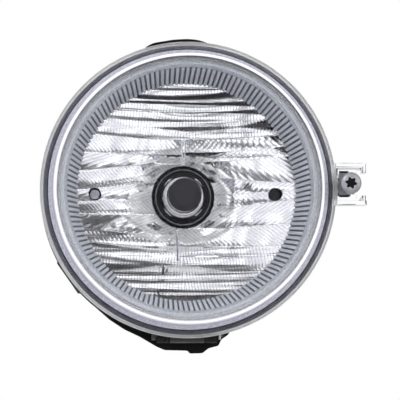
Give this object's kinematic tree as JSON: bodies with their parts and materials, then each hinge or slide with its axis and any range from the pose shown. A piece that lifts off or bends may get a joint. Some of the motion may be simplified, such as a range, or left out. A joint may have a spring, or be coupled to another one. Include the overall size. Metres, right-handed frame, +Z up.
{
  "type": "fog light",
  "caption": "Round fog light with a clear crowned lens, faceted mirror and bayonet bulb, tilting in a bolted ring frame by a side screw.",
  "frame": {"origin": "on the lamp's axis, in the plane of the four mounting feet's rear faces", "axes": "+Y is the lamp's axis, pointing back from the lens to the vehicle, so light leaves along -Y; +Z is up and +X is to the right as seen from in front of the lamp"},
  "size_m": [0.112, 0.0889, 0.1105],
  "materials": {
    "clear_lens": "clear moulded polycarbonate, hard coated",
    "mirror": "plastic with a bright vacuum-aluminised mirror coat",
    "trim_silver": "plastic with an aluminised coat over a fine moulded grain",
    "black_nylon": "glass-filled black nylon, fine grain",
    "bulb_plastic": "smooth black heat-proof plastic",
    "seal_rubber": "matt black silicone",
    "vent_rubber": "matt black rubber",
    "quartz": "clear quartz, tip coated black",
    "zinc": "zinc-plated steel",
    "spring_steel": "zinc-flaked spring steel",
    "stainless": "bright stainless steel",
    "tungsten": "drawn tungsten wire",
    "tinned_brass": "tinned brass",
    "natural_nylon": "natural white nylon"
  },
  "bodies": {
    "frame": {"mounting_frame": "black_nylon", "foot_sleeve_35": "zinc", "foot_sleeve_145": "zinc", "foot_sleeve_215": "zinc", "foot_sleeve_325": "zinc", "hinge_pin": "zinc", "pin_clip": "spring_steel", "screw_socket": "natural_nylon"},
    "lamp": {"lens": "clear_lens", "lens_seal": "seal_rubber", "trim_ring": "trim_silver", "reflector": "mirror", "reflector_screw_top": "zinc", "reflector_screw_left": "zinc", "reflector_screw_right": "zinc", "housing": "black_nylon", "vent_cap": "vent_rubber", "clip_nut": "spring_steel"},
    "bulb": {"bulb_glass": "quartz", "filament": "tungsten", "lead_wire_short": "tungsten", "lead_wire_long": "tungsten", "bulb_ferrule": "stainless", "bulb_base": "bulb_plastic", "bulb_seal": "seal_rubber", "terminal_left": "tinned_brass", "terminal_right": "tinned_brass"},
    "adjuster": {"adjuster_screw": "zinc"}
  },
  "joints": [
    {"name": "aim_tilt", "type": "hinge", "parent": "frame", "child": "lamp", "pos_m": [0, -0.038, -0.049], "axis": [1, 0, 0], "range_deg": [-4, 4]},
    {"name": "adjuster_turn", "type": "hinge", "parent": "frame", "child": "adjuster", "pos_m": [0.055, -0.0578, 0.0018], "axis": [0, 1, 0], "range_deg": [-860, 860]},
    {"name": "bulb_twist", "type": "hinge", "parent": "lamp", "child": "bulb", "pos_m": [0, 0.001, 0], "axis": [0, 1, 0], "range_deg": [0, 45]}
  ],
  "couplings": [
    {"joint": "adjuster_turn", "follows": "aim_tilt", "ratio": 212.79}
  ]
}
